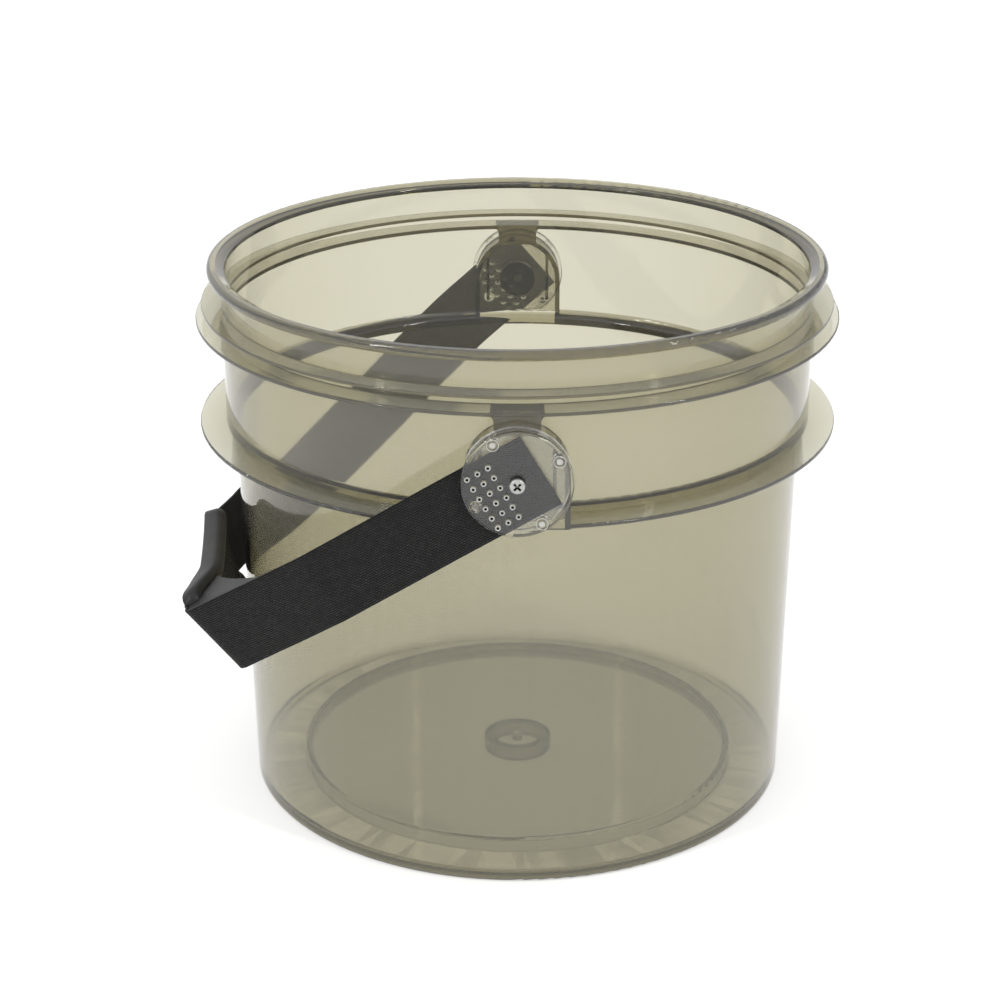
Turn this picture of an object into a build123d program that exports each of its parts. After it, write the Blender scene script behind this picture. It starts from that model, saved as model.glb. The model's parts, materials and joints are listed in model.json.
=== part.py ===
from build123d import *
from math import asin, cos, radians, sin
import os

# Straight-sided clear fermenting bucket with a swinging webbing carry strap.
# Millimetres. Origin at the centre of the base, +Z up. The strap pivots sit on
# the Y axis (front lug at -Y, rear lug at +Y) and the strap rests on the -X side.

# ---- bucket shell -----------------------------------------------------------
height = 283.2            # base to top of the rim bead
wall = 2.4                # shell wall
base_radius = 142.0       # outer radius of the body at the base
base_edge_radius = 3.0    # rounding of the bottom edge
body_draft = 0.0205       # growth of the body radius per millimetre of height
neck_height = 83.9        # from the lower flange's underside to the top of the rim
neck_step = 8.75          # the neck stands this far outside the body's base radius
body_top = height - neck_height
neck_radius = base_radius + neck_step

foot_thickness = 3.0      # floor thickness at the foot ring
foot_ring_width = 28.5    # the ring that stands on the ground
foot_inner_radius = base_radius - foot_ring_width
floor_rise = 8.4          # underside of the raised floor panel above the ground
floor_thickness = 2.5

gate_radius = 18.0        # ring under the middle of the floor, round the gate mark
gate_bore_radius = 13.0
gate_clearance = 1.0      # the ring stops this far above the ground
gate_stub_radius = 3.0
gate_stub_length = 3.0

low_flange_reach = 13.25  # the flanges and the bead stand out this far from the neck
low_flange_radius = neck_radius + low_flange_reach
low_flange_tip = 2.0      # thickness at the tip
low_flange_root = 3.0     # thickness at the neck
ledge_height = 7.0        # step inside, over the lower flange's underside
ledge_drop = 2.5          # slope of that step

mid_flange_radius = neck_radius + low_flange_reach
mid_flange_drop = 26.9    # top of the middle flange, below the rim
mid_flange_z = height - mid_flange_drop
mid_flange_thickness = 1.7
top_flange_reach = 10.25
top_flange_radius = neck_radius + top_flange_reach
top_flange_drop = 19.8    # top of the upper flange, below the rim
top_flange_z = height - top_flange_drop
top_flange_thickness = 1.4

bead_reach = 6.75
bead_radius = neck_radius + bead_reach
bead_height = 5.0
bead_rounding = 2.3

# ---- webbing and the clips that hold it: shared sizes -----------------------
strap_width = 38.0
strap_thickness = 1.8
peg_socket_radius = 2.9
peg_to_strap = 0.3        # peg sockets beside the webbing's edge
clip_margin = 3.6         # peg circle to the clip's rim
peg_circle = strap_width / 2 + peg_socket_radius + peg_to_strap
clip_radius = peg_circle + clip_margin

# ---- strap lugs on the shell ------------------------------------------------
pivot_drop = 58.7         # strap pivot below the rim
pivot_z = height - pivot_drop
lug_depth = 12.25         # outer face of the lug plate, from the neck
lug_face = neck_radius + lug_depth
lug_plate = 2.5
lug_inset = 1.4           # the arch is this much smaller than the clip on it
lug_half_width = clip_radius - lug_inset
lug_rib = 2.6
lug_web_half_width = 10.8  # web that ties the arch to the middle flange
lug_web_fillet = 3.0
lug_web_drop = 0.6        # flare of the web, under the middle of the flange
lug_root = 3.0            # the lug's pieces run this far into the neck's wall
stiffener_inset = 7.4     # two upright ribs, from the arch's outside
stiffener_offset = lug_half_width - stiffener_inset
stiffener_thickness = 1.7
stiffener_drop = 12.0     # their lower ends, below the pivot
stiffener_bottom = pivot_z - stiffener_drop
plate_joint = 0.5         # ribs and boss end inside the plate
boss_radius = 10.0
screw_hole_depth = 11.4
screw_hole_end = lug_face - screw_hole_depth

# ---- pivot screw ------------------------------------------------------------
shank_radius = 2.0
thread_interference = 0.1
pivot_clearance = 0.07    # radial, clip bores round the shank
head_radius = 3.75
head_height = 2.4
head_gap = 0.3            # head to clip cover
recess_width = 1.1
recess_length = 4.4
recess_depth = 1.4

# ---- strap clips (base against the lug, cover outside) ----------------------
clip_gap = 0.4            # clip base to lug plate
clip_base_thickness = 2.6
clip_base_step = 0.25     # clearance of the base inside the cover's skirt
cover_skirt = 1.8
cover_thickness = 2.6
strap_gap = 0.3           # strap to clip faces
skirt_gap = 0.66          # webbing's edge to the ends of the cover's skirt
pin_radius = 1.4
pin_clearance = 0.15
pin_rows = 3
pin_columns = 6
pin_edge = 5.25           # webbing's edge to the outermost pins' middles
pin_pitch = (strap_width - 2 * pin_edge) / (pin_columns - 1)
pin_first_row = 7.4
peg_radius = 1.6
peg_clearance = 0.1

# ---- webbing strap ----------------------------------------------------------
strap_end = 12.4          # strap end beyond the pivot
front_droop = 30.5        # strap angle below horizontal at the front clip
rear_droop = 41.5         # and at the rear clip, because the webbing twists
corner_reach = 166.0      # pivot to the front corner, measured along the strap
corner_y = -157.5
corner_radius = 6.0
leg_straight = 105.0      # length of the front leg that runs parallel to the lug
route_radius = 142.0      # base radius that the places below are laid round
# the strap's middle at the grip's far end: x, y and how far below the pivot
grip_far_place = (-151.6, -48.0, 85.5)
grip_tilt = 14.0          # lean of the strap's width off vertical, along the grip
# where the strap lies behind the grip: x, y, how far below the pivot, and its lean
rear_lie = [
    (-152.6, -24.0, 91.3, 11.5),
    (-151.0, 0.0, 96.0, 10.5),
    (-149.5, 25.0, 102.0, 12.0),
    (-146.0, 48.0, 105.7, 18.0),
    (-138.0, 68.0, 106.0, 24.0),
    (-126.5, 88.0, 102.0, 29.0),
    (-110.5, 110.0, 92.5, 33.0),
    (-93.5, 128.0, 80.5, 37.0),
    (-74.0, 145.0, 65.3, 40.0),
    (-57.0, 156.5, 50.4, 41.5),
]
rear_steps = 22           # straight pieces that the rear run is lofted through
rear_leg_straight = 34.0  # length of the rear leg that runs parallel to the lug

# ---- moulded grip -----------------------------------------------------------
grip_start = 8.0          # from the strap corner to the grip
grip_end_margin = 5.0     # grip wider than the webbing on each side, at its ends
grip_waist_margin = 2.0   # and at its waist
grip_end_half_width = strap_width / 2 + grip_end_margin
grip_waist_half_width = strap_width / 2 + grip_waist_margin
grip_inside = 8.0         # from the strap's middle to the inner face
grip_outside = 2.9        # and to the outer face
grip_rounding = 4.6
grip_slot_clearance = 0.25
grip_lip = 6.0            # how far the outer lips reach over the strap
valley_radius = 22.0
valley_depth = 3.0
rib_count = 12
rib_pitch = 7.3
rib_slot = 4.2
rib_rail = 11.5           # solid rail on each side of the ribs
rib_slot_width = 2 * (grip_waist_half_width - rib_rail)
rib_shift = 3.0           # ribs' middle, towards the far end of the grip
rib_slot_floor = 2.2      # slot floor above the strap's middle
gusset_reach = 40.0       # web inside the corner, along the strap each way
gusset_inset = 1.0        # the web is narrower than the webbing by this on each side
gusset_half_width = strap_width / 2 - gusset_inset
gusset_lean = 22.0
gusset_thickness = 3.0    # at its two ends

os.makedirs("parts", exist_ok=True)


def body_radius(z):
    return base_radius + body_draft * z


def side_plane(side, droop):
    """Plane on the lug's outer face; x along the strap, z away from the bucket."""
    a = radians(droop)
    return Plane(
        origin=(0, side * lug_face, pivot_z),
        x_dir=(-cos(a), 0, -sin(a)),
        z_dir=(0, side, 0),
    )


# ---- bucket shell -----------------------------------------------------------
def shell_profile():
    """Half section of the moulded shell, in the X-Z plane."""
    inner_base = body_radius(foot_thickness) - wall
    inner_body_top = body_radius(body_top) - wall
    neck_inner = neck_radius - wall
    floor_top = floor_rise + floor_thickness
    riser_outer = foot_inner_radius + floor_thickness
    low_root = body_top + low_flange_root
    low_tip = body_top + low_flange_tip
    mid_under = mid_flange_z - mid_flange_thickness
    top_under = top_flange_z - top_flange_thickness
    bead_under = height - bead_height
    ledge_top = body_top + ledge_height

    outline = [
        (0, floor_rise),
        (foot_inner_radius, floor_rise),
        (foot_inner_radius, 0),
        (base_radius, 0),
        (body_radius(body_top), body_top),
        (low_flange_radius, body_top),
        (low_flange_radius, low_tip),
        (neck_radius, low_root),
        (neck_radius, mid_under - 0.2),
        (mid_flange_radius, mid_under),
        (mid_flange_radius, mid_flange_z),
        (neck_radius, mid_flange_z + 0.2),
        (neck_radius, top_under - 0.2),
        (top_flange_radius, top_under),
        (top_flange_radius, top_flange_z),
        (neck_radius, top_flange_z + 0.2),
        (neck_radius, bead_under),
        (bead_radius, bead_under),
        (bead_radius, height),
        (bead_radius - 2 * bead_rounding, height),
        (neck_inner, height - bead_rounding),
        (neck_inner, ledge_top),
        (inner_body_top, ledge_top - ledge_drop),
        (inner_base, foot_thickness),
        (riser_outer, foot_thickness),
        (riser_outer, floor_top),
        (0, floor_top),
    ]
    section = make_face(Polyline(*outline, close=True))

    def corner(r, z):
        return section.vertices().sort_by_distance((r, z, 0))[0]

    roundings = [
        ((base_radius, 0), base_edge_radius),
        ((bead_radius, bead_under), bead_rounding),
        ((bead_radius, height), bead_rounding),
        ((neck_inner, height - bead_rounding), 1.2),
        ((inner_base, foot_thickness), 5.0),
        ((riser_outer, foot_thickness), 1.0),
        ((riser_outer, floor_top), 1.5),
        ((foot_inner_radius, floor_rise), 1.0),
        ((low_flange_radius, low_tip), 0.7),
        ((low_flange_radius, body_top), 0.7),
        ((mid_flange_radius, mid_flange_z), 0.5),
        ((mid_flange_radius, mid_under), 0.5),
        ((top_flange_radius, top_flange_z), 0.4),
        ((top_flange_radius, top_under), 0.4),
        ((neck_inner, ledge_top), 2.0),
        ((inner_body_top, ledge_top - ledge_drop), 2.0),
    ]
    for (r, z), radius in roundings:
        section = fillet(corner(r, z), radius)
    return Plane.XZ * section


def arch(half_width, y0, y1):
    """Upright slab with a round top, from y0 to y1, at the front lug."""
    bottom = body_top - pivot_z
    outline = Circle(half_width) + Pos(0, bottom / 2) * Rectangle(2 * half_width, -bottom)
    plane = Plane(origin=(0, y0, pivot_z), x_dir=(1, 0, 0), z_dir=(0, -1, 0))
    slab = extrude(plane * outline, y0 - y1)
    return slab & Pos(0, y1, body_top) * Box(
        4 * half_width, 4 * lug_face, 4 * half_width, align=(Align.CENTER, Align.CENTER, Align.MIN)
    )


def front_lug(solid):
    """Adds the front strap lug to the shell: arch rib, plate, web, ribs and boss."""
    neck_inner = neck_radius - wall
    inside = Cylinder(neck_inner, 2 * height, align=(Align.CENTER, Align.CENTER, Align.MIN))
    neck = Cylinder(neck_radius, 2 * height, align=(Align.CENTER, Align.CENTER, Align.MIN))
    wall_y = -(neck_inner - lug_root)
    plate_inner = -(lug_face - lug_plate)
    inner_half = lug_half_width - lug_rib

    pocket = arch(inner_half, -neck_radius + 4.0, -2 * lug_face)
    solid = solid - (pocket - neck)

    rib = arch(lug_half_width, wall_y, -lug_face) - arch(inner_half, 0, -2 * lug_face)
    plate = arch(lug_half_width, plate_inner, -lug_face)

    web_bottom = pivot_z + inner_half * 0.95
    web_top = mid_flange_z - mid_flange_thickness / 2
    web = Pos(0, (wall_y - lug_face) / 2, (web_bottom + web_top) / 2) * Box(
        2 * lug_web_half_width, lug_face + wall_y, web_top - web_bottom
    )
    flare_z = web_top - lug_web_fillet / 2 - lug_web_drop
    flare = Pos(0, (wall_y - lug_face) / 2, flare_z) * Box(
        2 * (lug_web_half_width + lug_web_fillet), lug_face + wall_y, lug_web_fillet
    )
    for x_side in (-1, 1):
        hollow_x = x_side * (lug_web_half_width + lug_web_fillet)
        hollow_z = web_top - lug_web_fillet - lug_web_drop
        flare -= Pos(hollow_x, -lug_face, hollow_z) * Rot(90, 0, 0) * Cylinder(
            lug_web_fillet, 4 * lug_face
        )

    added = rib + plate + web + flare
    rib_length = lug_face + wall_y - plate_joint
    for x_side in (-1, 1):
        top = pivot_z + (inner_half**2 - stiffener_offset**2) ** 0.5 + 1.0
        stiffener = Box(stiffener_thickness, rib_length, top - stiffener_bottom)
        middle_z = (stiffener_bottom + top) / 2
        added += Pos(x_side * stiffener_offset, wall_y - rib_length / 2, middle_z) * stiffener
    added += Pos(0, wall_y - rib_length / 2, pivot_z) * Rot(90, 0, 0) * Cylinder(boss_radius, rib_length)
    added -= inside
    solid = solid + added

    hole_length = lug_face - screw_hole_end + 1.0
    hole = Pos(0, -screw_hole_end - hole_length / 2, pivot_z) * Rot(90, 0, 0) * Cylinder(
        shank_radius - thread_interference, hole_length
    )
    return solid - hole


def bucket_shell():
    solid = revolve(shell_profile(), Axis.Z, 360)
    ring_height = floor_rise - gate_clearance + 0.5
    ring = Cylinder(gate_radius, ring_height) - Cylinder(gate_bore_radius, ring_height)
    solid += Pos(0, 0, gate_clearance + ring_height / 2) * ring
    stub_height = gate_stub_length + 0.5
    solid += Pos(0, 0, floor_rise + 0.5 - stub_height / 2) * Cylinder(gate_stub_radius, stub_height)
    for turn in (0, 180):
        solid = Rot(0, 0, turn) * front_lug(Rot(0, 0, -turn) * solid)
    return solid


# ---- strap path -------------------------------------------------------------
def strap_y(side):
    stack = clip_gap + clip_base_thickness + strap_gap + strap_thickness / 2
    return side * (lug_face + stack)


def leg_point(reach, y, droop):
    a = radians(droop)
    return Vector(-reach * cos(a), y, pivot_z - reach * sin(a))


def laid_round(x, y):
    """A place on the strap's route, at its own distance from the wall for any base radius."""
    stretch = 1 + (base_radius - route_radius) / (x**2 + y**2) ** 0.5
    return x * stretch, y * stretch


def front_corner():
    x, y = laid_round(-corner_reach * cos(radians(front_droop)), corner_y)
    return leg_point(-x / cos(radians(front_droop)), y, front_droop)


def grip_far():
    x, y, drop = grip_far_place
    return Vector(*laid_round(x, y), pivot_z - drop)


def lean_direction(lean):
    return Vector(-sin(radians(lean)), 0, cos(radians(lean)))


def frame_at(middle, along, lean):
    """Plane across the strap: x over its width, z along it."""
    along = along.normalized()
    across = lean_direction(lean)
    across = (across - along * across.dot(along)).normalized()
    return Plane(origin=middle, x_dir=across, z_dir=along)


def front_frames():
    """Section planes of the strap from the front clip to the grip's far end."""
    corner = front_corner()
    leg_end = leg_point(leg_straight, strap_y(-1), front_droop)
    far = grip_far()
    to_leg = (leg_end - corner).normalized()
    to_grip = (far - corner).normalized()
    half_turn = radians(to_leg.get_angle(to_grip)) / 2
    set_back = corner_radius * cos(half_turn) / sin(half_turn)
    bend_start = corner + to_leg * set_back
    bend_end = corner + to_grip * set_back
    bisector = (to_leg + to_grip).normalized()
    bend_middle = corner + bisector * (corner_radius / sin(half_turn) - corner_radius)
    start = leg_point(-strap_end, strap_y(-1), front_droop)
    bend = ThreePointArc(bend_start, bend_middle, bend_end)
    frames = [
        frame_at(start, leg_end - start, front_droop),
        frame_at(leg_end, (leg_end - start).normalized() - to_leg, front_droop),
    ]
    for i in range(6):
        lean = front_droop + (grip_tilt - front_droop) * i / 5
        frames.append(frame_at(bend.position_at(i / 5), bend.tangent_at(i / 5), lean))
    frames.append(frame_at(far, to_grip, grip_tilt))
    return frames


def rear_frames():
    """Section planes of the strap from behind the grip to the rear clip."""
    leg_start = leg_point(rear_leg_straight, strap_y(1), rear_droop)
    end = leg_point(-strap_end, strap_y(1), rear_droop)
    corner = front_corner()
    far = grip_far()
    lie = [Vector(*laid_round(x, y), pivot_z - drop) for x, y, drop, lean in rear_lie]
    run = Spline(far, *lie, leg_start, tangents=[far - corner, end - leg_start])
    lean_y = [far.Y] + [place.Y for place in lie] + [strap_y(1)]
    lean_a = [grip_tilt] + [lean for x, y, drop, lean in rear_lie] + [rear_droop]
    frames = []
    for i in range(1, rear_steps + 1):
        middle = run.position_at(i / rear_steps)
        k = max(j for j in range(len(lean_y) - 1) if middle.Y >= lean_y[j] - 1e-6)
        share = min((middle.Y - lean_y[k]) / (lean_y[k + 1] - lean_y[k]), 1.0)
        lean = lean_a[k] + (lean_a[k + 1] - lean_a[k]) * share
        frames.append(frame_at(middle, run.tangent_at(i / rear_steps), lean))
    frames.append(frame_at(end, end - leg_start, rear_droop))
    return frames


def webbing_strap():
    section = Rectangle(strap_width, strap_thickness)
    strap = loft([frame * section for frame in front_frames() + rear_frames()], ruled=True)
    for side, droop in ((-1, front_droop), (1, rear_droop)):
        plane = side_plane(side, droop)
        holes = [plane * Cylinder(shank_radius + 0.6, 60)]
        for x, y in pin_places():
            holes.append(plane * Pos(x, y) * Cylinder(pin_radius + pin_clearance, 60))
        holes.append(plane * Pos(peg_circle, 0) * Cylinder(peg_socket_radius + pin_clearance, 60))
        for hole in holes:
            strap -= hole
    return strap


# ---- strap clips ------------------------------------------------------------
def pin_places():
    return [
        (pin_first_row + row * pin_pitch, (column - (pin_columns - 1) / 2) * pin_pitch)
        for row in range(pin_rows)
        for column in range(pin_columns)
    ]


def peg_places():
    return [
        (peg_circle * cos(radians(turn)), peg_circle * sin(radians(turn)))
        for turn in (0, 90, 180, 270)
    ]


def clip_levels():
    base_bottom = clip_gap
    base_top = base_bottom + clip_base_thickness
    cover_inside = base_top + strap_thickness + 2 * strap_gap
    cover_top = cover_inside + cover_thickness
    return base_bottom, base_top, cover_inside, cover_top


def standing(radius, z0, z1):
    return Pos(0, 0, z0) * Cylinder(radius, z1 - z0, align=(Align.CENTER, Align.CENTER, Align.MIN))


def clip_base():
    """Inner disc of a clip, with four pegs that lock into the cover."""
    bottom, top, inside, outside = clip_levels()
    disc = standing(clip_radius - cover_skirt - clip_base_step, bottom, top)
    for x, y in peg_places():
        disc += Pos(x, y) * standing(peg_radius, bottom, inside + 1.2)
        disc -= Pos(x, y) * (
            standing(peg_socket_radius + peg_clearance, top - 0.6, top + 0.1)
            - standing(peg_radius, top - 0.7, top + 0.2)
        )
    return disc - standing(shank_radius + pivot_clearance, 0, outside + 1)


def clip_cover():
    """Outer disc of a clip: skirt, pins that pierce the strap, and four peg sockets."""
    bottom, top, inside, outside = clip_levels()
    disc = standing(clip_radius, inside, outside)
    disc = fillet(disc.edges().group_by(Axis.Z)[-1], 0.8)
    ring = standing(clip_radius, bottom + 0.4, inside + 0.5)
    ring -= standing(clip_radius - cover_skirt, bottom, inside + 1)
    opening = asin((strap_width / 2 + skirt_gap) / (clip_radius - cover_skirt))
    reach = 3 * clip_radius
    wedge = Polyline(
        (0, 0), (reach * cos(opening), -reach * sin(opening)), (reach, 0),
        (reach * cos(opening), reach * sin(opening)), close=True
    )
    ring -= Pos(0, 0, -1) * extrude(make_face(wedge), inside + 1.0)
    cover = disc + ring
    for x, y in pin_places():
        cover += Pos(x, y) * standing(pin_radius, top + 0.1, inside + 0.5)
    for x, y in peg_places():
        cover += Pos(x, y) * standing(peg_socket_radius, top - 0.5, inside + 0.5)
    for x, y in peg_places():
        cover -= Pos(x, y) * standing(peg_radius + peg_clearance, 0, inside + 1.3)
    limit = standing(clip_radius, 0, outside + 1)
    cover = cover & limit
    return cover - standing(shank_radius + pivot_clearance, 0, outside + 1)


# ---- pivot screw ------------------------------------------------------------
def pivot_screw():
    """Pan-head screw with a cross recess; z = 0 is the lug's outer face."""
    outside = clip_levels()[3]
    seat = outside + head_gap
    head = standing(head_radius, seat, seat + head_height)
    head = fillet(head.edges().group_by(Axis.Z)[-1], 1.3)
    top = seat + head_height
    for turn in (0, 90):
        head -= Rot(0, 0, turn + 45) * Pos(0, 0, top - recess_depth / 2) * Box(
            recess_length, recess_width, recess_depth
        )
    shank_start = -(lug_face - screw_hole_end) + 0.4
    return head + standing(shank_radius, shank_start, seat + 0.2)


# ---- grip -------------------------------------------------------------------
def grip_plane():
    """Plane at the grip's near end: x along the grip, z towards the bucket."""
    corner = front_corner()
    frame = frame_at(grip_far(), grip_far() - corner, grip_tilt)
    along = frame.z_dir
    inward = along.cross(frame.x_dir)
    if inward.X < 0:
        inward = inward * -1
    return Plane(origin=corner + along * grip_start, x_dir=along, z_dir=inward)


def grip_section(x, half_width):
    depth = grip_inside + grip_outside
    plane = Plane(origin=(x, 0, (grip_inside - grip_outside) / 2), x_dir=(0, 1, 0), z_dir=(1, 0, 0))
    return plane * RectangleRounded(2 * half_width, depth, grip_rounding)


def gusset():
    """Concave web inside the strap's front corner."""
    corner = front_corner()
    leg_end = leg_point(leg_straight, strap_y(-1), front_droop)
    to_leg = (leg_end - corner).normalized()
    to_grip = (grip_far() - corner).normalized()
    across = lean_direction(gusset_lean)
    plane = Plane(origin=corner, x_dir=to_leg - across * to_leg.dot(across), z_dir=across)
    leg = plane.to_local_coords(corner + to_leg)
    leg = Vector(leg.X, leg.Y).normalized()
    grip = plane.to_local_coords(corner + to_grip)
    grip = Vector(grip.X, grip.Y).normalized()
    in_leg = (grip - leg * grip.dot(leg)).normalized() * gusset_thickness
    in_grip = (leg - grip * leg.dot(grip)).normalized() * grip_inside * 0.9
    bend_middle = (leg + grip).normalized() * corner_radius * 0.42
    tip = leg * gusset_reach
    near_leg = tip + in_leg
    near_grip = grip * (gusset_reach + 2) + in_grip
    hollow = RadiusArc(near_leg, near_grip, gusset_reach)
    if (hollow @ 0.5).length > ((near_leg + near_grip) * 0.5).length:
        hollow = RadiusArc(near_leg, near_grip, -gusset_reach)
    face = make_face(Polyline(near_grip, grip * (gusset_reach + 2), bend_middle, tip, near_leg) + hollow)
    return plane * extrude(face, gusset_half_width, both=True)


def handle_grip():
    corner = front_corner()
    length = (grip_far() - corner).length - grip_start
    ends = grip_end_half_width
    waist = grip_waist_half_width
    between = (ends + 2 * waist) / 3
    stations = [(0, ends), (0.22, between), (0.5, waist), (0.78, between), (1, ends)]
    body = loft([grip_section(f * length, half) for f, half in stations])
    valley_z = grip_inside - valley_depth + valley_radius
    valley = Pos(length / 2, 0, valley_z) * Rot(0, 90, 0) * Cylinder(valley_radius, 2 * length)
    body -= valley
    for i in range(rib_count):
        x = length / 2 + rib_shift + (i - (rib_count - 1) / 2) * rib_pitch
        body -= Pos(x, 0, rib_slot_floor) * Box(
            rib_slot, rib_slot_width, grip_inside, align=(Align.CENTER, Align.CENTER, Align.MIN)
        )
    window = 2 * (strap_width / 2 + grip_slot_clearance - grip_lip)
    body -= Pos(length / 2, 0, -grip_outside) * Box(2 * length, window, 2 * grip_outside)
    grip = grip_plane() * body + gusset()

    space = Rectangle(strap_width + 2 * grip_slot_clearance, strap_thickness + 2 * grip_slot_clearance)
    frames = front_frames()
    last = frames[-1]
    beyond = Plane(origin=last.origin + last.z_dir * 10, x_dir=last.x_dir, z_dir=last.z_dir)
    return grip - loft([frame * space for frame in frames + [beyond]], ruled=True)


# ---- assembly ---------------------------------------------------------------
def placed(solid, side, droop):
    return side_plane(side, droop) * solid


parts = {
    "bucket_shell": bucket_shell(),
    "front_pivot_screw": placed(pivot_screw(), -1, 0),
    "rear_pivot_screw": placed(pivot_screw(), 1, 0),
    "front_clip_base": placed(clip_base(), -1, front_droop),
    "front_clip_cover": placed(clip_cover(), -1, front_droop),
    "rear_clip_base": placed(clip_base(), 1, rear_droop),
    "rear_clip_cover": placed(clip_cover(), 1, rear_droop),
    "webbing_strap": webbing_strap(),
    "handle_grip": handle_grip(),
}

for name, solid in parts.items():
    export_step(solid, os.path.join("parts", name + ".step"))
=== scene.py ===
import bmesh
import bpy
import json
from math import cos, pi, radians, sin, tan
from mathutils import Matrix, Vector


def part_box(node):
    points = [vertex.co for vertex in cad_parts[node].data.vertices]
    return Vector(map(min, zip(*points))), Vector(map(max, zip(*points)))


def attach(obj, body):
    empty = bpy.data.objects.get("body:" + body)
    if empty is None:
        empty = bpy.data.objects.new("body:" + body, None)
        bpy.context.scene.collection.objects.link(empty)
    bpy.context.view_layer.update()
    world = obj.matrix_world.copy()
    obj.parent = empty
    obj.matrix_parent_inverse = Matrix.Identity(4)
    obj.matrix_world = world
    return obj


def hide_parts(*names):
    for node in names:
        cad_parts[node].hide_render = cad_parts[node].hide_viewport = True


# A clear fermenting bucket. The CAD shell, clips and screws get their materials
# here; the webbing strap and its moulded grip are rebuilt as detailed meshes.
# Metres, in the CAD model's own frame: +Z up, the strap pivots lie along Y.

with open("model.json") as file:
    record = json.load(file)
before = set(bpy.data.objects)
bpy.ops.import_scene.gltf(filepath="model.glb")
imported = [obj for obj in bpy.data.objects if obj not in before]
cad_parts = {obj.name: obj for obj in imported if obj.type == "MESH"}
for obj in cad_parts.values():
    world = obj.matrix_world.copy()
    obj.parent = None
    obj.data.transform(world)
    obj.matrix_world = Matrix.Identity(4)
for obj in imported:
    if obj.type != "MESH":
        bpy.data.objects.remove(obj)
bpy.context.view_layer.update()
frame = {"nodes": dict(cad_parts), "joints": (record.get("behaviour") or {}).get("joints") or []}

# ---- driving values ---------------------------------------------------------
MM = 0.001
PIVOT_Z = frame["joints"][0]["pos_m"][2]
CAD_HALF_THICKNESS = 0.9 * MM        # of the CAD model's own webbing

STRAP_WIDTH = 38.0 * MM
STRAP_THICKNESS = 1.7 * MM
STRAP_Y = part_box("webbing_strap")[1].y - CAD_HALF_THICKNESS  # middle of the webbing beside the lugs
STRAP_END = 12.4 * MM               # strap end beyond the pivot
FRONT_DROOP = 30.5                  # degrees below horizontal at the front clip
REAR_DROOP = 41.5                   # and at the rear clip
CORNER_REACH = 166.0 * MM
CORNER_Y = -157.5 * MM
CORNER_LEAN = 41.0                  # lean of the fold across the strap
CORNER_RADIUS = 5.0 * MM
BEND_STEPS = 9                      # mesh steps round the fold
LEG_STRAIGHT = 105.0 * MM           # the front leg runs parallel to the lug this far
GRIP_FAR = Vector((-151.6, -48.0, 139.0)) * MM
GRIP_LEAN = 14.0                    # lean of the strap's width inside the grip
GRIP_TURN = 0.42                    # share of the grip's run over which that lean is reached
FOLD_FADE = 0.3                     # and over which the fold's extra width fades
REAR_LEG_STRAIGHT = 34.0 * MM
# where the strap lies behind the grip: x, y, z in millimetres and its lean
REAR_LIE = [
    (-152.6, -24.0, 133.2, 11.5),
    (-151.0, 0.0, 128.5, 10.5),
    (-149.5, 25.0, 122.5, 12.0),
    (-146.0, 48.0, 118.8, 18.0),
    (-138.0, 68.0, 118.5, 24.0),
    (-126.5, 88.0, 122.5, 29.0),
    (-110.5, 110.0, 132.0, 33.0),
    (-93.5, 128.0, 144.0, 37.0),
    (-74.0, 145.0, 159.2, 40.0),
    (-57.0, 156.5, 174.1, 41.5),
]
WEAVE_LENGTH = 1.9 * MM             # one bump of the weave along the strap
WEAVE_WIDTH = 1.05 * MM             # and across it
STEP = 1.6 * MM                     # mesh spacing along the strap
SELVEDGE = 0.6 * MM                 # radius of the webbing's rounded edges
SELVEDGE_WIDTH = 2.6 * MM           # the thick edges reach this far in
SELVEDGE_RISE = 1.6 * MM            # and rise over this width
THINNER = 0.1                       # share by which the webbing is thinner between them
RIPPLE = 0.12 * MM                  # how far the webbing waves out of its plane
RIPPLE_SHORT = 7.0 * MM             # the wave's two lengths, over one radian
RIPPLE_LONG = 31.0 * MM
ACROSS = 24                         # mesh cells across the strap

PIN_RADIUS = 1.4 * MM
PIN_PITCH = 5.5 * MM
PIN_FIRST_ROW = 7.4 * MM
PIN_ROWS = 3
PIN_COLUMNS = 6
PEG_CIRCLE = 22.2 * MM
PEG_RADIUS = 2.9 * MM
SCREW_RADIUS = 2.0 * MM
HOLE_CLEARANCE = 0.2 * MM
SCREW_CLEARANCE = 0.6 * MM
COVER_ABOVE_STRAP = 3.8 * MM        # clip cover's outer face beyond the strap's middle

GRIP_START = 6.0 * MM               # from the strap's corner to the grip
GRIP_HALF_END = 24.0 * MM
GRIP_HALF_WAIST = 20.9 * MM
GRIP_LOBE = 4.4 * MM                # radius of the two rounded rails
GRIP_DEPTH = 8.0 * MM               # strap's middle to the rails' tops
GRIP_BACK = 2.7 * MM                # and to the outer lips
GRIP_LIP = 6.0 * MM
GRIP_LIPS_START = 5.0 * MM          # the outer lips start this far along the grip
GRIP_LIPS_RISE = 22.0 * MM          # and reach their full size over this length
GRIP_LIP_LEAST = 0.35               # share of its depth that the upper lip always keeps
GRIP_LIP_HIDDEN = 0.4 * MM          # the faded lower lip ends this far inside the strap's edge
GRIP_LIP_EDGE = 1.6 * MM            # radius of the lips' outer edges
GRIP_END_ROUND = 9.0 * MM
GRIP_END_DROP = 0.45                # share of its depth that the grip loses at its ends
GRIP_END_NARROW = 0.42              # how much of that its width follows
GRIP_BEYOND = 7.0 * MM              # the grip's rounded end, past the strap's bend
GRIP_SLOT = 1.1 * MM
GRIP_PLAY = 0.5 * MM                # between the strap's edge and its slot
RIB_COUNT = 12
RIB_FIRST = 0.16                    # share of the grip's length before the first rib
RIB_SPREAD = 0.76                   # and from the first rib to the last
RIB_HEIGHT = 5.9 * MM               # strap's middle to the ribs' tops
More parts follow.
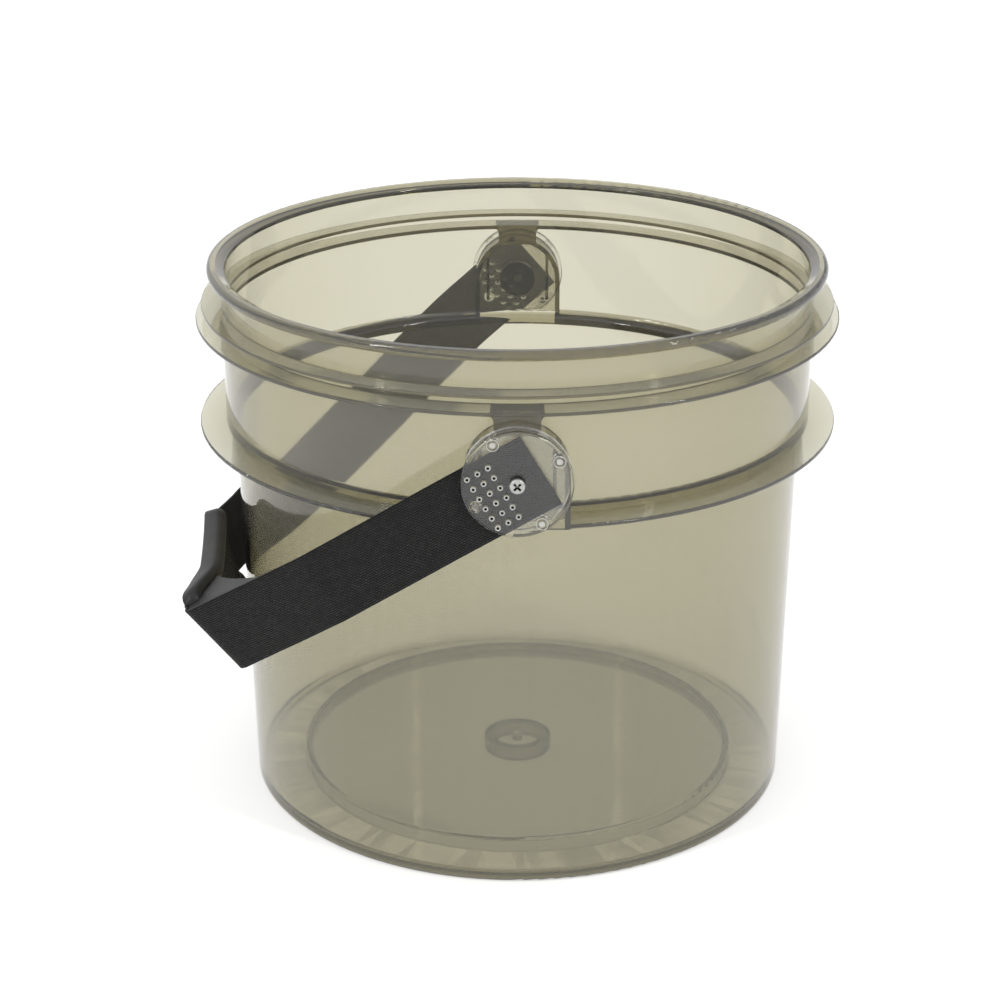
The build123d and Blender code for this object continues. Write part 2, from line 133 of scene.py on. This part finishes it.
RIB_FOOT = 1.5 * MM                 # and to their feet
RIB_HALF_FOOT = 1.75 * MM
RIB_HALF_TOP = 1.55 * MM
RIB_ROUND = 1.5 * MM                # height of their rounded tops
RIB_DISH = 0.22                     # share of their height that they dip in the middle
GUSSET_LEG = 46.0 * MM              # the corner web's reach along the strap's front leg
GUSSET_GRIP = 40.0 * MM             # and along the grip
GUSSET_PULL = 17.0 * MM             # how far it bulges inside the corner
GUSSET_SLANT = 4.0 * MM             # how much further its upper edge reaches along the leg
GUSSET_TIP = 0.5 * MM               # its thickness at the end of the leg
GUSSET_CLEARANCE = 0.15 * MM        # from the strap's surface
GUSSET_INSET = 0.3 * MM             # from the strap's edges
GUSSET_EDGE = 2.2 * MM              # width of its rounded edges
GUSSET_STEPS = 18                   # mesh steps across it
GUSSET_CURVE = 16                   # and along its curve


# ---- small helpers ----------------------------------------------------------
def lean_direction(lean):
    return Vector((-sin(radians(lean)), 0, cos(radians(lean))))


def leg_point(reach, y, droop):
    a = radians(droop)
    return Vector((-reach * cos(a), y, PIVOT_Z - reach * sin(a)))


def smooth_step(t):
    t = min(max(t, 0.0), 1.0)
    return t * t * (3 - 2 * t)


def hermite(p0, p1, m0, m1, t):
    a = 2 * t**3 - 3 * t**2 + 1
    b = t**3 - 2 * t**2 + t
    c = -2 * t**3 + 3 * t**2
    d = t**3 - t**2
    return p0 * a + m0 * b + p1 * c + m1 * d


def add_object(name, bm):
    """Turns a bmesh into an object with outward normals."""
    bmesh.ops.recalc_face_normals(bm, faces=bm.faces)
    mesh = bpy.data.meshes.new(name)
    bm.to_mesh(mesh)
    bm.free()
    piece = bpy.data.objects.new(name, mesh)
    bpy.context.scene.collection.objects.link(piece)
    return piece


def shade_smooth(piece, angle):
    for face in piece.data.polygons:
        face.use_smooth = True
    piece.data.update()
    bpy.context.view_layer.objects.active = piece
    piece.select_set(True)
    bpy.ops.object.shade_smooth_by_angle(angle=radians(angle))
    piece.select_set(False)


def skin(name, rings, uv=None):
    """Closed mesh through rings of equal length; uv(ring, point) gives metres."""
    bm = bmesh.new()
    layer = bm.loops.layers.uv.new("UVMap")
    rows = [[bm.verts.new(p) for p in ring] for ring in rings]
    count = len(rows[0])
    for i in range(len(rows) - 1):
        for j in range(count):
            k = (j + 1) % count
            face = bm.faces.new((rows[i][j], rows[i][k], rows[i + 1][k], rows[i + 1][j]))
            if uv:
                spots = [(i, j), (i, j + 1), (i + 1, j + 1), (i + 1, j)]
                for loop, spot in zip(face.loops, spots):
                    loop[layer].uv = uv(*spot)
    bm.faces.new(list(reversed(rows[0])))
    bm.faces.new(rows[-1])
    return add_object(name, bm)


# ---- strap route ------------------------------------------------------------
def strap_route():
    """Stations along the strap: (middle, width vector, thickness direction, length so far)."""
    corner = leg_point(CORNER_REACH, CORNER_Y, FRONT_DROOP)
    leg_start = leg_point(-STRAP_END, -STRAP_Y, FRONT_DROOP)
    leg_end = leg_point(LEG_STRAIGHT, -STRAP_Y, FRONT_DROOP)
    to_leg = (leg_end - corner).normalized()
    to_grip = (GRIP_FAR - corner).normalized()
    half_turn = to_leg.angle(to_grip) / 2
    set_back = CORNER_RADIUS / tan(half_turn)
    bend_start = corner + to_leg * set_back
    bend_end = corner + to_grip * set_back
    centre = corner + (to_leg + to_grip).normalized() * (CORNER_RADIUS / sin(half_turn))
    skew = radians(CORNER_LEAN - FRONT_DROOP)
    leg_width = lean_direction(FRONT_DROOP)
    fold_width = leg_width - to_leg * tan(skew)

    route = []
    steps = int((leg_end - leg_start).length / STEP)
    for i in range(steps):
        route.append((leg_start.lerp(leg_end, i / steps), leg_width))
    steps = int((bend_start - leg_end).length / STEP)
    for i in range(steps):
        t = i / steps
        route.append((leg_end.lerp(bend_start, t), leg_width.lerp(fold_width, smooth_step(t))))
    arm0 = (bend_start - centre).normalized()
    arm1 = (bend_end - centre).normalized()
    for i in range(BEND_STEPS):
        arm = arm0.slerp(arm1, i / BEND_STEPS).normalized()
        route.append((centre + arm * CORNER_RADIUS, fold_width))
    grip_width = lean_direction(GRIP_LEAN)
    steps = int((GRIP_FAR - bend_end).length / STEP)
    for i in range(steps):
        t = i / steps
        width = fold_width.lerp(grip_width, smooth_step(t / GRIP_TURN))
        width = width.normalized() * (1 + (fold_width.length - 1) * (1 - smooth_step(t / FOLD_FADE)))
        route.append((bend_end.lerp(GRIP_FAR, t), width))

    rear_start = leg_point(REAR_LEG_STRAIGHT, STRAP_Y, REAR_DROOP)
    rear_end = leg_point(-STRAP_END, STRAP_Y, REAR_DROOP)
    knots = [GRIP_FAR] + [Vector(lie[:3]) * MM for lie in REAR_LIE] + [rear_start]
    leans = [GRIP_LEAN] + [lie[3] for lie in REAR_LIE] + [REAR_DROOP]
    spans = [(b - a).length for a, b in zip(knots, knots[1:])]
    slopes = [to_grip]
    for i in range(1, len(knots) - 1):
        slopes.append((knots[i + 1] - knots[i - 1]) / (spans[i - 1] + spans[i]))
    slopes.append((rear_end - rear_start).normalized())
    for i, span in enumerate(spans):
        steps = max(2, int(span / STEP))
        for n in range(steps):
            t = n / steps
            middle = hermite(knots[i], knots[i + 1], slopes[i] * span, slopes[i + 1] * span, t)
            lean = leans[i] + (leans[i + 1] - leans[i]) * t
            route.append((middle, lean_direction(lean)))
    steps = int((rear_end - rear_start).length / STEP)
    for n in range(steps + 1):
        route.append((rear_start.lerp(rear_end, n / steps), lean_direction(REAR_DROOP)))

    stations = []
    length = 0.0
    for i, (middle, width) in enumerate(route):
        before = route[max(i - 1, 0)][0]
        after = route[min(i + 1, len(route) - 1)][0]
        if i:
            length += (middle - before).length
        along = (after - before).normalized()
        normal = along.cross(width).normalized()
        stations.append((middle, width, normal, length))
    return stations


ROUTE = strap_route()


# ---- materials --------------------------------------------------------------
class Nodes:
    """A material's node tree with short calls for adding and linking nodes."""

    def __init__(self, name):
        self.material = bpy.data.materials.new(name)
        self.material.use_nodes = True
        self.tree = self.material.node_tree
        self.shader = self.tree.nodes["Principled BSDF"]
        self.output = self.tree.nodes["Material Output"]

    def add(self, kind):
        return self.tree.nodes.new(kind)

    def link(self, a, b):
        self.tree.links.new(a, b)

    def set(self, **values):
        for key, value in values.items():
            self.shader.inputs[key.replace("_", " ")].default_value = value

    def bump(self, height, strength, distance, onto=None):
        node = self.add("ShaderNodeBump")
        node.inputs["Strength"].default_value = strength
        node.inputs["Distance"].default_value = distance
        self.link(height, node.inputs["Height"])
        if onto:
            self.link(onto, node.inputs["Normal"])
        self.link(node.outputs["Normal"], self.shader.inputs["Normal"])
        return node.outputs["Normal"]

    def noise(self, scale, detail):
        node = self.add("ShaderNodeTexNoise")
        node.inputs["Scale"].default_value = scale
        node.inputs["Detail"].default_value = detail
        self.link(self.add("ShaderNodeTexCoord").outputs["Object"], node.inputs["Vector"])
        return node.outputs["Fac"]

    def ramp(self, factor, stops):
        node = self.add("ShaderNodeValToRGB")
        elements = node.color_ramp.elements
        while len(elements) < len(stops):
            elements.new(0.5)
        for element, (position, colour) in zip(elements, stops):
            element.position = position
            element.color = (*colour, 1)
        self.link(factor, node.inputs["Fac"])
        return node.outputs["Color"]

    def product(self, a, b):
        node = self.add("ShaderNodeMix")
        node.data_type = "RGBA"
        node.blend_type = "MULTIPLY"
        node.inputs[0].default_value = 1.0
        self.link(a, node.inputs[6])
        self.link(b, node.inputs[7])
        return node.outputs[2]

    def absorb(self, colour, density):
        """Tint that deepens with the thickness of the piece."""
        node = self.add("ShaderNodeVolumeAbsorption")
        node.inputs["Color"].default_value = (*colour, 1)
        node.inputs["Density"].default_value = density
        self.link(node.outputs["Volume"], self.output.inputs["Volume"])

    def spread(self, factor, low, high):
        node = self.add("ShaderNodeMapRange")
        node.inputs["To Min"].default_value = low
        node.inputs["To Max"].default_value = high
        self.link(factor, node.inputs["Value"])
        return node.outputs["Result"]


def smoky_plastic():
    """Clear, slightly hazy plastic with a warm smoky tint."""
    n = Nodes("smoky_plastic")
    n.set(Base_Color=(0.95, 0.95, 0.93, 1), Transmission_Weight=0.945, IOR=1.5)
    n.link(n.spread(n.noise(55, 4), 0.02, 0.06), n.shader.inputs["Roughness"])
    n.bump(n.noise(14, 1.5), 0.05, 1.2 * MM)
    n.absorb((0.42, 0.372, 0.09), 285.0)
    return n.material


def clear_plastic():
    """Water-clear plastic of the strap clips."""
    n = Nodes("clear_plastic")
    n.set(Base_Color=(1.0, 1.0, 1.0, 1), Transmission_Weight=1.0, IOR=1.49)
    n.link(n.spread(n.noise(160, 5), 0.03, 0.09), n.shader.inputs["Roughness"])
    n.bump(n.noise(60, 2), 0.12, 0.5 * MM)
    n.absorb((0.80, 0.80, 0.74), 60.0)
    return n.material


def screw_steel():
    """Dull steel, with painted shade darkening it in the sheltered cross recess."""
    n = Nodes("screw_steel")
    n.set(Metallic=1.0)
    tone = n.noise(900, 4)
    steel = n.ramp(tone, [(0.3, (0.36, 0.36, 0.34)), (0.7, (0.50, 0.50, 0.48))])
    # painted shade: the steel colour is darkened where the AO node finds the cross recess sheltered
    shelter = n.add("ShaderNodeAmbientOcclusion")
    shelter.inputs["Distance"].default_value = 2.0 * MM
    n.link(steel, shelter.inputs["Color"])
    painted_recess_shade = n.ramp(shelter.outputs["AO"], [(0.45, (0.02, 0.02, 0.02)), (0.8, (1.0, 1.0, 1.0))])
    n.link(n.product(steel, painted_recess_shade), n.shader.inputs["Base Color"])
    n.link(n.spread(tone, 0.35, 0.5), n.shader.inputs["Roughness"])
    n.bump(n.noise(1500, 2), 0.15, 0.05 * MM)
    return n.material


def webbing():
    """Black woven polypropylene: staggered yarns along and across the strap."""
    n = Nodes("webbing")
    uv = n.add("ShaderNodeUVMap")
    uv.uv_map = "UVMap"
    weave = n.add("ShaderNodeTexBrick")
    weave.offset = 0.5
    weave.inputs["Scale"].default_value = 1.0
    weave.inputs["Brick Width"].default_value = WEAVE_LENGTH
    weave.inputs["Row Height"].default_value = WEAVE_WIDTH
    weave.inputs["Mortar Size"].default_value = WEAVE_WIDTH * 0.42
    weave.inputs["Mortar Smooth"].default_value = 1.0
    weave.inputs["Color1"].default_value = (0.030, 0.0295, 0.028, 1)
    weave.inputs["Color2"].default_value = (0.016, 0.016, 0.0155, 1)
    weave.inputs["Mortar"].default_value = (0.0012, 0.0012, 0.0012, 1)
    n.link(uv.outputs["UV"], weave.inputs["Vector"])
    fray = n.noise(420, 4)
    worn = n.ramp(fray, [(0.25, (0.55, 0.55, 0.55)), (0.75, (1.35, 1.35, 1.35))])
    n.link(n.product(weave.outputs["Color"], worn), n.shader.inputs["Base Color"])
    n.set(Roughness=0.75, Sheen_Weight=0.08, Sheen_Roughness=0.4, Specular_IOR_Level=0.16)
    height = n.add("ShaderNodeMath")
    height.operation = "SUBTRACT"
    height.inputs[0].default_value = 1.0
    n.link(weave.outputs["Fac"], height.inputs[1])
    first = n.bump(height.outputs["Value"], 1.0, 0.6 * MM)
    n.bump(n.noise(2600, 3), 0.35, 0.1 * MM, onto=first)
    return n.material


def grip_plastic():
    """Satin black moulded plastic with a fine spark-eroded texture."""
    n = Nodes("grip_plastic")
    tone = n.ramp(n.noise(180, 5), [(0.3, (0.003, 0.003, 0.003)), (0.7, (0.0065, 0.0065, 0.0063))])
    n.link(tone, n.shader.inputs["Base Color"])
    n.set(Specular_IOR_Level=0.42)
    n.link(n.spread(n.noise(60, 4), 0.4, 0.55), n.shader.inputs["Roughness"])
    n.bump(n.noise(2200, 2), 0.25, 0.08 * MM)
    return n.material


def studio_floor():
    """White floor with a little light of its own, so that it stays evenly white."""
    n = Nodes("studio_floor")
    tone = n.ramp(n.noise(3, 2), [(0.3, (0.72, 0.72, 0.718)), (0.7, (0.74, 0.74, 0.738))])
    n.link(tone, n.shader.inputs["Base Color"])
    n.set(Roughness=0.8, Specular_IOR_Level=0.1)
    n.set(Emission_Color=(1.0, 1.0, 0.995, 1), Emission_Strength=0.37)
    return n.material


# ---- CAD pieces that keep their shape ---------------------------------------
def paint(node, material):
    piece = frame["nodes"][node]
    piece.data.materials.clear()
    piece.data.materials.append(material)


def paint_cad_nodes():
    paint("bucket_shell", smoky_plastic())
    clear = clear_plastic()
    steel = screw_steel()
    for side in ("front", "rear"):
        paint(side + "_clip_base", clear)
        paint(side + "_clip_cover", clear)
        paint(side + "_pivot_screw", steel)


# ---- webbing strap ----------------------------------------------------------
def strap_section():
    """(across, thickness) points round the strap, with thick rounded selvedges."""
    half = STRAP_WIDTH / 2
    thick = STRAP_THICKNESS / 2
    flat = half - SELVEDGE
    upper = []
    for i in range(ACROSS + 1):
        w = -flat + 2 * flat * i / ACROSS
        edge = smooth_step((abs(w) - half + SELVEDGE_WIDTH) / SELVEDGE_RISE)
        upper.append((w, thick * (1 - THINNER + THINNER * edge)))
    turns = [pi / 2 - pi * i / 5 for i in range(1, 5)]
    right = [(flat + SELVEDGE * cos(a), thick * sin(a)) for a in turns]
    left = [(-w, -n) for w, n in right]
    lower = [(w, -n) for w, n in reversed(upper)]
    return upper + right + lower + left


def clip_side(side, droop, x, y):
    """A place on a clip, as distances along and across the strap from the pivot."""
    a = radians(droop)
    along = Vector((-cos(a), 0, -sin(a)))
    across = Vector((-sin(a), 0, cos(a)))
    return Vector((0, side * STRAP_Y, PIVOT_Z)) + along * x + across * y


def pin_places():
    """The clip's pins, as distances along and across the strap from the pivot."""
    return [
        (PIN_FIRST_ROW + row * PIN_PITCH, (column - (PIN_COLUMNS - 1) / 2) * PIN_PITCH)
        for row in range(PIN_ROWS)
        for column in range(PIN_COLUMNS)
    ]


def hole_cutter():
    """Every pin, peg and screw that passes through the strap, as one mesh of rods."""
    bm = bmesh.new()

    def rod(middle, radius, sides):
        rings = []
        for y in (middle.y - 4 * MM, middle.y + 4 * MM):
            ring = []
            for i in range(sides):
                a = 2 * pi * i / sides
                ring.append(bm.verts.new((middle.x + radius * cos(a), y, middle.z + radius * sin(a))))
            rings.append(ring)
        for i in range(sides):
            k = (i + 1) % sides
            bm.faces.new((rings[0][i], rings[0][k], rings[1][k], rings[1][i]))
        bm.faces.new(list(reversed(rings[0])))
        bm.faces.new(rings[1])

    for side, droop in ((-1, FRONT_DROOP), (1, REAR_DROOP)):
        rod(clip_side(side, droop, 0, 0), SCREW_RADIUS + SCREW_CLEARANCE, 24)
        rod(clip_side(side, droop, PEG_CIRCLE, 0), PEG_RADIUS + HOLE_CLEARANCE, 28)
        for x, y in pin_places():
            rod(clip_side(side, droop, x, y), PIN_RADIUS + HOLE_CLEARANCE, 16)
    return add_object("hole_cutter", bm)


def build_strap():
    section = strap_section()
    around = [0.0]
    for a, b in zip(section, section[1:] + section[:1]):
        around.append(around[-1] + ((a[0] - b[0]) ** 2 + (a[1] - b[1]) ** 2) ** 0.5)
    rings = []
    for middle, width, normal, length in ROUTE:
        ripple = RIPPLE * sin(length / RIPPLE_SHORT) * sin(length / RIPPLE_LONG)
        rings.append([middle + width * w + normal * (n + ripple) for w, n in section])
    strap = skin("webbing_strap_woven", rings, uv=lambda i, j: (ROUTE[i][3], around[j]))
    cutter = hole_cutter()
    cut = strap.modifiers.new("holes", "BOOLEAN")
    cut.object = cutter
    cut.operation = "DIFFERENCE"
    cut.solver = "EXACT"
    cut.use_self = True
    bpy.context.view_layer.objects.active = strap
    bpy.ops.object.modifier_apply(modifier=cut.name)
    bpy.data.objects.remove(cutter)
    shade_smooth(strap, 50)
    strap.data.materials.append(webbing())
    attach(strap, "handle")
    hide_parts("webbing_strap")


# ---- moulded details of the clips -------------------------------------------
def milky_plastic():
    """Frosted plastic where the pins and peg sockets are moulded to the cover."""
    n = Nodes("milky_plastic")
    n.set(Base_Color=(0.58, 0.58, 0.55, 1), Transmission_Weight=0.3, IOR=1.49)
    n.link(n.spread(n.noise(900, 3), 0.25, 0.45), n.shader.inputs["Roughness"])
    return n.material


def bore_shade():
    """Painted shade: a dark disc at the shaded bottom of each hollow pin."""
    n = Nodes("bore_shade")
    n.set(Specular_IOR_Level=0.1)
    n.link(n.spread(n.noise(900, 3), 0.5, 0.7), n.shader.inputs["Roughness"])
    n.link(n.ramp(n.noise(700, 2), [(0.3, (0.006, 0.006, 0.005)), (0.7, (0.012, 0.012, 0.011))]),
           n.shader.inputs["Base Color"])
    return n.material


def turned(bm, side, droop, x, y, profile, sides):
    """Revolves (radius, height above the cover) points about a place on a clip."""
    middle = clip_side(side, droop, x, y)
    face = side * (abs(middle.y) + COVER_ABOVE_STRAP)
    rings = []
    for i in range(sides):
        a = 2 * pi * i / sides
        rings.append([
            bm.verts.new((middle.x + r * cos(a), face + side * h, middle.z + r * sin(a)))
            for r, h in profile
        ])
    for i in range(sides):
        k = (i + 1) % sides
        for j in range(len(profile)):
            m = (j + 1) % len(profile)
            bm.faces.new((rings[i][j], rings[i][m], rings[k][m], rings[k][j]))


def ring_profile(inner, outer, low, high):
    """Half-round ring section from radius inner to outer."""
    middle = (inner + outer) / 2
    half = (outer - inner) / 2
    turns = [pi * i / 6 for i in range(7)]
    return [(middle + half * cos(a), low + (high - low) * sin(a)) for a in turns]


def build_clip_details():
    """Rims of the hollow pins, the peg sockets, and the pins' bores as dark discs of painted shade."""
    proud = 0.02 * MM
    pin_rim = ring_profile(0.72 * MM, 1.3 * MM, proud, 0.25 * MM)
    pin_bore = ring_profile(0.01 * MM, 0.71 * MM, proud, 0.06 * MM)
    peg_dome = ring_profile(0.01 * MM, 1.4 * MM, proud, 0.3 * MM)
    peg_rim = ring_profile(2.6 * MM, 2.95 * MM, proud, 0.1 * MM)
    milky, dark = milky_plastic(), bore_shade()
    for name, side, droop in (("front", -1, FRONT_DROOP), ("rear", 1, REAR_DROOP)):
        rims = bmesh.new()
        bores = bmesh.new()
        for x, y in pin_places():
            turned(rims, side, droop, x, y, pin_rim, 24)
            # painted shade: a dark disc in each pin's bore
            turned(bores, side, droop, x, y, pin_bore, 20)
        for turn in (90, 180, 270):
            x = PEG_CIRCLE * cos(radians(turn))
            y = PEG_CIRCLE * sin(radians(turn))
            turned(rims, side, droop, x, y, peg_dome, 28)
            turned(rims, side, droop, x, y, peg_rim, 28)
        for label, bm, material in (("pin_rims", rims, milky), ("pin_bore_painted_shade", bores, dark)):
            piece = add_object(f"{name}_clip_{label}", bm)
            shade_smooth(piece, 50)
            piece.data.materials.append(material)
            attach(piece, "handle")


# ---- grip -------------------------------------------------------------------
def grip_frames():
    """Stations of the strap inside the grip: (share of length, middle, width, inward)."""
    corner = leg_point(CORNER_REACH, CORNER_Y, FRONT_DROOP)
    start = corner.y + GRIP_START
    inside = [s for s in ROUTE if s[0].x < -0.13 and start < s[0].y < GRIP_FAR.y + GRIP_BEYOND]
    stations = []
    for middle, width, normal, _ in inside:
        inward = normal if normal.x > 0 else -normal
        share = (middle.y - inside[0][0].y) / (inside[-1][0].y - inside[0][0].y)
        stations.append((share, middle, width.normalized(), inward))
    return stations


def grip_outline(half):
    """Closed section of the grip: lips round the strap, two rails and a channel between."""
    lobe = GRIP_LOBE
    top = GRIP_DEPTH - lobe
    side = half - lobe
    slot_w = STRAP_WIDTH / 2 + GRIP_PLAY
    lip = STRAP_WIDTH / 2 - GRIP_LIP
    flat = half - GRIP_LIP_EDGE
    right = [(lip, -GRIP_BACK + 0.5 * MM), (lip + 0.6 * MM, -GRIP_BACK), (flat, -GRIP_BACK)]
    for i in range(1, 4):
        a = -pi / 2 + pi / 2 * i / 4
        right.append((flat + GRIP_LIP_EDGE * cos(a), -GRIP_BACK + GRIP_LIP_EDGE + GRIP_LIP_EDGE * sin(a)))
    for i in range(13):
        a = radians(-8) + radians(188) * i / 12
        right.append((side + lobe * cos(a), top + lobe * sin(a)))
    # the channel's side and its floor
    inner = side - lobe
    right += [(inner - 0.5 * MM, top - 0.9 * MM), (inner - 1.6 * MM, 2.2 * MM), (inner * 0.5, 1.9 * MM)]
    left = [(-w, n) for w, n in reversed(right)]
    slot = [
        (-lip, -GRIP_SLOT), (-slot_w, -GRIP_SLOT), (-slot_w, GRIP_SLOT),
        (0.0, GRIP_SLOT),
        (slot_w, GRIP_SLOT), (slot_w, -GRIP_SLOT), (lip, -GRIP_SLOT),
    ]
    return right + [(0.0, 1.85 * MM)] + left + slot


def grip_half(share):
    """Half-width of the grip: a waist with flared ends."""
    flare = abs(2 * share - 1) ** 2.2
    return GRIP_HALF_WAIST + (GRIP_HALF_END - GRIP_HALF_WAIST) * flare


def build_grip_body(stations):
    """The grip's moulding; its lips fade out near the strap's corner, and both ends are rounded."""
    start, end = stations[0][1], stations[-1][1]
    rings = []
    for share, middle, width, inward in stations:
        half = grip_half(share)
        near = min((middle - start).length, (middle - end).length)
        ending = 1 - min(near / GRIP_END_ROUND, 1.0)
        shrink = 1 - GRIP_END_DROP + GRIP_END_DROP * (1 - ending**2) ** 0.5
        lips = smooth_step(((middle - start).length - GRIP_LIPS_START) / GRIP_LIPS_RISE)
        side = STRAP_WIDTH / 2 + GRIP_PLAY
        ring = []
        for w, n in grip_outline(half):
            slot_wall = abs(n) <= GRIP_SLOT + 1e-6
            if not slot_wall:
                reach = abs(w) * (1 - (1 - shrink) * GRIP_END_NARROW)
                w = reach if w > 0 else -reach
                n = n * shrink if n > 0 else n
            if n < -1e-6 and abs(w) < side:
                w = (side + (abs(w) - side) * lips) * (1 if w > 0 else -1)
            if n < GRIP_SLOT and not slot_wall:
                n = GRIP_SLOT * 0.5 + (n - GRIP_SLOT * 0.5) * max(lips, GRIP_LIP_LEAST if w > 0 else 0.0)
            if w < 0:
                hidden = -STRAP_WIDTH / 2 + GRIP_LIP_HIDDEN
                w = max(w, hidden + (w - hidden) * lips)
            ring.append(middle + width * w + inward * n)
        rings.append(ring)
    body = skin("handle_grip_body", rings)
    shade_smooth(body, 48)
    return body


def rib_profile():
    """Section of a rib: (along the grip, height above the strap's middle)."""
    turns = [pi * k / 8 for k in range(9)]
    top = [(RIB_HALF_TOP * cos(a), RIB_HEIGHT - RIB_ROUND + RIB_ROUND * sin(a)) for a in turns]
    return [(RIB_HALF_FOOT, RIB_FOOT)] + top + [(-RIB_HALF_FOOT, RIB_FOOT)]


def build_ribs(stations):
    """Cross ribs in the grip's channel, with rounded tops."""
    bm = bmesh.new()
    profile = rib_profile()
    length_steps = len(stations) - 1
    for r in range(RIB_COUNT):
        share = RIB_FIRST + RIB_SPREAD * r / (RIB_COUNT - 1)
        at = share * length_steps
        i = int(at)
        a, b = stations[i], stations[min(i + 1, length_steps)]
        t = at - i
        middle = a[1].lerp(b[1], t)
        width = a[2].lerp(b[2], t).normalized()
        inward = a[3].lerp(b[3], t).normalized()
        along = width.cross(inward).normalized()
        reach = grip_half(share) - GRIP_LOBE * 1.5
        rows = []
        steps = 10
        for s in range(steps + 1):
            w = -reach + 2 * reach * s / steps
            dish = 1 - RIB_DISH * (1 - (w / reach) ** 2)
            rows.append([
                bm.verts.new(middle + width * w + along * p + inward * (RIB_FOOT + (q - RIB_FOOT) * dish))
                for p, q in profile
            ])
        for s in range(steps):
            for k in range(len(profile)):
                m = (k + 1) % len(profile)
                bm.faces.new((rows[s][k], rows[s][m], rows[s + 1][m], rows[s + 1][k]))
        bm.faces.new(list(reversed(rows[0])))
        bm.faces.new(rows[-1])
    ribs = add_object("handle_grip_ribs", bm)
    shade_smooth(ribs, 50)
    return ribs


def build_gusset():
    """Concave web that sweeps from the grip round the inside of the strap's corner."""
    corner = leg_point(CORNER_REACH, CORNER_Y, FRONT_DROOP)
    leg_end = leg_point(LEG_STRAIGHT, -STRAP_Y, FRONT_DROOP)
    to_leg = (leg_end - corner).normalized()
    to_grip = (GRIP_FAR - corner).normalized()
    in_leg = (to_grip - to_leg * to_grip.dot(to_leg)).normalized()
    in_grip = (to_leg - to_grip * to_leg.dot(to_grip)).normalized()
    fold = lean_direction(CORNER_LEAN) / cos(radians(CORNER_LEAN - FRONT_DROOP))
    clear = STRAP_THICKNESS / 2 + GUSSET_CLEARANCE
    half = STRAP_WIDTH / 2 - GUSSET_INSET

    def beside_grip(reach, w, lift):
        """A place by the strap inside the grip, where the strap's width turns upright."""
        turn = smooth_step(reach / (GRIP_TURN * (GRIP_FAR - corner).length))
        return corner + to_grip * reach + fold.lerp(lean_direction(GRIP_LEAN), turn) * w + in_grip * lift

    rings = []
    for k in range(GUSSET_STEPS + 1):
        w = -half + 2 * half * k / GUSSET_STEPS
        round_off = 1 - 0.5 * smooth_step((abs(w) - half + GUSSET_EDGE) / GUSSET_EDGE)
        base = corner + fold * w
        leg_reach = GUSSET_LEG + GUSSET_SLANT * w / half
        leg_tip = base + to_leg * leg_reach + in_leg * (clear + GUSSET_TIP)
        grip_tip = beside_grip(GUSSET_GRIP, w, GRIP_DEPTH * 0.5)
        pull = base + to_leg * GUSSET_PULL + in_leg * GUSSET_PULL
        foot = base + (in_leg + in_grip) * clear
        ring = []
        for s in range(GUSSET_CURVE + 1):
            t = s / GUSSET_CURVE
            point = leg_tip * (1 - t) ** 2 + pull * (2 * t * (1 - t)) + grip_tip * t * t
            ring.append(foot.lerp(point, round_off) if 0 < s < GUSSET_CURVE else point)
        for s in range(4):
            ring.append(beside_grip(GUSSET_GRIP * (1 - s / 4), w, clear) + in_leg * clear * (s / 4))
        ring.append(foot)
        for s in range(1, 5):
            ring.append(base + to_leg * leg_reach * (s / 4) + in_leg * clear)
        rings.append(ring)
    gusset = skin("handle_grip_gusset", rings)
    shade_smooth(gusset, 60)
    return gusset


def build_grip():
    stations = grip_frames()
    black = grip_plastic()
    body = build_grip_body(stations)
    for piece in (body, build_ribs(stations), build_gusset()):
        piece.data.materials.append(black)
        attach(piece, "handle")
    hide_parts("handle_grip")


# ---- studio -----------------------------------------------------------------
def build_studio():
    bm = bmesh.new()
    bmesh.ops.create_grid(bm, x_segments=24, y_segments=24, size=6.0)
    floor = add_object("studio_floor", bm)
    floor.data.materials.append(studio_floor())

    world = bpy.data.worlds.new("studio")
    bpy.context.scene.world = world
    world.use_nodes = True
    background = world.node_tree.nodes["Background"]
    background.inputs["Color"].default_value = (1.0, 1.0, 1.0, 1)
    background.inputs["Strength"].default_value = 1.0

    def softbox(name, place, size_x, size_y, watts):
        light = bpy.data.lights.new(name, "AREA")
        light.shape = "RECTANGLE"
        light.size = size_x
        light.size_y = size_y
        light.energy = watts
        lamp = bpy.data.objects.new(name, light)
        bpy.context.scene.collection.objects.link(lamp)
        lamp.location = place
        aim = Vector((0, 0, 0.15)) - Vector(place)
        lamp.rotation_euler = aim.to_track_quat("-Z", "Y").to_euler()

    for name, side in (("strip_left", -1), ("strip_right", 1)):
        softbox(name, (1.25 * side, -1.0, 1.3), 0.12, 0.9, 8)
    softbox("overhead", (0, 0.1, 2.4), 1.6, 1.6, 3)


def build_camera():
    """Camera at the height, distance and lens that show the bucket's own ellipses."""
    distance = 1189.6 * MM
    eye_height = 629.5 * MM
    pitch = 22.15
    camera = bpy.data.cameras.new("camera")
    camera.sensor_width = 36.0
    camera.lens = 87.2
    camera.shift_x = -0.0174
    camera.shift_y = 0.0051
    camera.clip_end = 50
    eye = bpy.data.objects.new("camera", camera)
    bpy.context.scene.collection.objects.link(eye)
    eye.location = (0, -distance, eye_height)
    eye.rotation_euler = (radians(90 - pitch), 0, 0)
    bpy.context.scene.camera = eye


# ---- build ------------------------------------------------------------------
paint_cad_nodes()
build_strap()
build_clip_details()
build_grip()
build_studio()
build_camera()
bpy.context.scene.view_settings.view_transform = "Standard"
